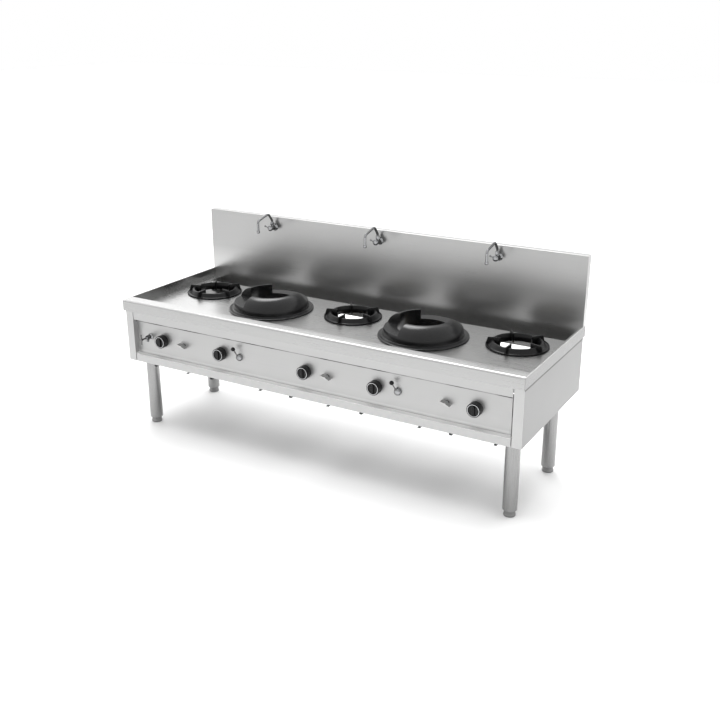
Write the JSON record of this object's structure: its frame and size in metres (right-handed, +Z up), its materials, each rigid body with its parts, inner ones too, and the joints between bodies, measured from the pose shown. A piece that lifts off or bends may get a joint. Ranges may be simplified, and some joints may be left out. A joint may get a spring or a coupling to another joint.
{
  "type": "wok range",
  "caption": "Free-standing stainless wok range with domed wok rings, finned trivets, sunk deck, rear channel, splashback with swivel taps, front controls and drip trays.",
  "frame": {"origin": "middle of the bounding box on the floor", "axes": "+X to the cook's right along the front, +Y to the back, +Z up"},
  "size_m": [2.5, 0.942, 1.2225],
  "materials": {
    "stainless": "satin stainless sheet, fine grain along the length",
    "stainless_tube": "satin stainless tube",
    "frame_steel": "dull galvanized steel",
    "cast_iron": "black, sand-cast skin, half matt",
    "knob_black": "black moulded plastic",
    "lever_black": "black ball on a thin bright rod",
    "chrome_plate": "bright chrome plate",
    "brass": "plain machined brass"
  },
  "bodies": {
    "range_body": {"worktop": "stainless", "rear_channel": "stainless", "splashback": "stainless", "side_panel_left": "stainless", "side_panel_right": "stainless", "front_panel": "stainless", "base_frame": "frame_steel", "leg_front_left": "stainless_tube", "leg_front_right": "stainless_tube", "leg_rear_left": "stainless_tube", "leg_rear_right": "stainless_tube", "burner_1": "cast_iron", "burner_2": "cast_iron", "burner_3": "cast_iron", "burner_4": "cast_iron", "burner_5": "cast_iron", "gas_manifold": "brass", "lever_valve_2": "chrome_plate", "lever_valve_4": "chrome_plate", "pilot_cock_1": "chrome_plate", "pilot_cock_3": "chrome_plate", "pilot_cock_5": "chrome_plate", "rinse_cock": "chrome_plate", "tap_1": "chrome_plate", "tap_2": "chrome_plate", "tap_3": "chrome_plate", "water_pipe": "chrome_plate"},
    "knob_1": {"knob_1": "knob_black"},
    "knob_2": {"knob_2": "knob_black"},
    "knob_3": {"knob_3": "knob_black"},
    "knob_4": {"knob_4": "knob_black"},
    "knob_5": {"knob_5": "knob_black"},
    "valve_lever_2": {"valve_lever_2": "lever_black"},
    "valve_lever_4": {"valve_lever_4": "lever_black"},
    "pilot_lever_1": {"pilot_lever_1": "chrome_plate"},
    "pilot_lever_3": {"pilot_lever_3": "chrome_plate"},
    "pilot_lever_5": {"pilot_lever_5": "chrome_plate"},
    "rinse_handle": {"rinse_handle": "chrome_plate"},
    "spout_1": {"spout_1": "chrome_plate"},
    "spout_2": {"spout_2": "chrome_plate"},
    "spout_3": {"spout_3": "chrome_plate"},
    "tap_lever_1": {"tap_lever_1": "chrome_plate"},
    "tap_lever_2": {"tap_lever_2": "chrome_plate"},
    "tap_lever_3": {"tap_lever_3": "chrome_plate"},
    "trivet_1": {"trivet_1": "cast_iron"},
    "trivet_3": {"trivet_3": "cast_iron"},
    "trivet_5": {"trivet_5": "cast_iron"},
    "wok_ring_2": {"wok_ring_2": "cast_iron"},
    "wok_ring_4": {"wok_ring_4": "cast_iron"},
    "drip_tray_1": {"drip_tray_1": "stainless"},
    "drip_tray_2": {"drip_tray_2": "stainless"},
    "drip_tray_3": {"drip_tray_3": "stainless"},
    "drip_tray_4": {"drip_tray_4": "stainless"},
    "drip_tray_5": {"drip_tray_5": "stainless"},
    "foot_front_left": {"foot_front_left": "stainless_tube"},
    "foot_front_right": {"foot_front_right": "stainless_tube"},
    "foot_rear_left": {"foot_rear_left": "stainless_tube"},
    "foot_rear_right": {"foot_rear_right": "stainless_tube"}
  },
  "joints": [
    {"name": "knob_1_turn", "type": "hinge", "parent": "range_body", "child": "knob_1", "pos_m": [-0.993, -0.386, 0.576], "axis": [0, -1, 0], "range_deg": [0, 210]},
    {"name": "knob_2_turn", "type": "hinge", "parent": "range_body", "child": "knob_2", "pos_m": [-0.567, -0.386, 0.576], "axis": [0, -1, 0], "range_deg": [0, 210]},
    {"name": "knob_3_turn", "type": "hinge", "parent": "range_body", "child": "knob_3", "pos_m": [0, -0.386, 0.576], "axis": [0, -1, 0], "range_deg": [0, 210]},
    {"name": "knob_4_turn", "type": "hinge", "parent": "range_body", "child": "knob_4", "pos_m": [0.433, -0.386, 0.576], "axis": [0, -1, 0], "range_deg": [0, 210]},
    {"name": "knob_5_turn", "type": "hinge", "parent": "range_body", "child": "knob_5", "pos_m": [0.993, -0.386, 0.576], "axis": [0, -1, 0], "range_deg": [0, 210]},
    {"name": "valve_lever_2_turn", "type": "hinge", "parent": "range_body", "child": "valve_lever_2", "pos_m": [-0.438, -0.3933, 0.576], "axis": [0, 1, 0], "range_deg": [0, 90]},
    {"name": "valve_lever_4_turn", "type": "hinge", "parent": "range_body", "child": "valve_lever_4", "pos_m": [0.562, -0.3933, 0.576], "axis": [0, 1, 0], "range_deg": [0, 90]},
    {"name": "pilot_lever_1_turn", "type": "hinge", "parent": "range_body", "child": "pilot_lever_1", "pos_m": [-0.838, -0.4023, 0.576], "axis": [0, -1, 0], "range_deg": [0, 90]},
    {"name": "pilot_lever_3_turn", "type": "hinge", "parent": "range_body", "child": "pilot_lever_3", "pos_m": [0.14, -0.4023, 0.576], "axis": [0, -1, 0], "range_deg": [0, 90]},
    {"name": "pilot_lever_5_turn", "type": "hinge", "parent": "range_body", "child": "pilot_lever_5", "pos_m": [0.838, -0.4023, 0.576], "axis": [0, -1, 0], "range_deg": [0, 90]},
    {"name": "rinse_handle_turn", "type": "hinge", "parent": "range_body", "child": "rinse_handle", "pos_m": [-1.09, -0.43, 0.588], "axis": [0, -1, 0], "range_deg": [0, 360]},
    {"name": "spout_1_swivel", "type": "hinge", "parent": "range_body", "child": "spout_1", "pos_m": [-0.75, 0.399, 1.143], "axis": [0, 0, 1], "range_deg": [-75, 75]},
    {"name": "spout_2_swivel", "type": "hinge", "parent": "range_body", "child": "spout_2", "pos_m": [0, 0.399, 1.143], "axis": [0, 0, 1], "range_deg": [-75, 75]},
    {"name": "spout_3_swivel", "type": "hinge", "parent": "range_body", "child": "spout_3", "pos_m": [0.75, 0.399, 1.143], "axis": [0, 0, 1], "range_deg": [-75, 75]},
    {"name": "tap_lever_1_turn", "type": "hinge", "parent": "range_body", "child": "tap_lever_1", "pos_m": [-0.75, 0.3797, 1.125], "axis": [0, -1, 0], "range_deg": [0, 90]},
    {"name": "tap_lever_2_turn", "type": "hinge", "parent": "range_body", "child": "tap_lever_2", "pos_m": [0, 0.3797, 1.125], "axis": [0, -1, 0], "range_deg": [0, 90]},
    {"name": "tap_lever_3_turn", "type": "hinge", "parent": "range_body", "child": "tap_lever_3", "pos_m": [0.75, 0.3797, 1.125], "axis": [0, -1, 0], "range_deg": [0, 90]},
    {"name": "trivet_1_lift", "type": "slide", "parent": "range_body", "child": "trivet_1", "axis": [0, 0, 1], "range_m": [0, 0.15]},
    {"name": "trivet_3_lift", "type": "slide", "parent": "range_body", "child": "trivet_3", "axis": [0, 0, 1], "range_m": [0, 0.15]},
    {"name": "trivet_5_lift", "type": "slide", "parent": "range_body", "child": "trivet_5", "axis": [0, 0, 1], "range_m": [0, 0.15]},
    {"name": "wok_ring_2_lift", "type": "slide", "parent": "range_body", "child": "wok_ring_2", "axis": [0, 0, 1], "range_m": [0, 0.2]},
    {"name": "wok_ring_4_lift", "type": "slide", "parent": "range_body", "child": "wok_ring_4", "axis": [0, 0, 1], "range_m": [0, 0.2]},
    {"name": "drip_tray_1_pull", "type": "slide", "parent": "range_body", "child": "drip_tray_1", "axis": [0, -1, 0], "range_m": [0, 0.45]},
    {"name": "drip_tray_2_pull", "type": "slide", "parent": "range_body", "child": "drip_tray_2", "axis": [0, -1, 0], "range_m": [0, 0.45]},
    {"name": "drip_tray_3_pull", "type": "slide", "parent": "range_body", "child": "drip_tray_3", "axis": [0, -1, 0], "range_m": [0, 0.45]},
    {"name": "drip_tray_4_pull", "type": "slide", "parent": "range_body", "child": "drip_tray_4", "axis": [0, -1, 0], "range_m": [0, 0.45]},
    {"name": "drip_tray_5_pull", "type": "slide", "parent": "range_body", "child": "drip_tray_5", "axis": [0, -1, 0], "range_m": [0, 0.45]},
    {"name": "foot_front_left_level", "type": "slide", "parent": "range_body", "child": "foot_front_left", "axis": [0, 0, -1], "range_m": [0, 0.025]},
    {"name": "foot_front_right_level", "type": "slide", "parent": "range_body", "child": "foot_front_right", "axis": [0, 0, -1], "range_m": [0, 0.025]},
    {"name": "foot_rear_left_level", "type": "slide", "parent": "range_body", "child": "foot_rear_left", "axis": [0, 0, -1], "range_m": [0, 0.025]},
    {"name": "foot_rear_right_level", "type": "slide", "parent": "range_body", "child": "foot_rear_right", "axis": [0, 0, -1], "range_m": [0, 0.025]}
  ]
}
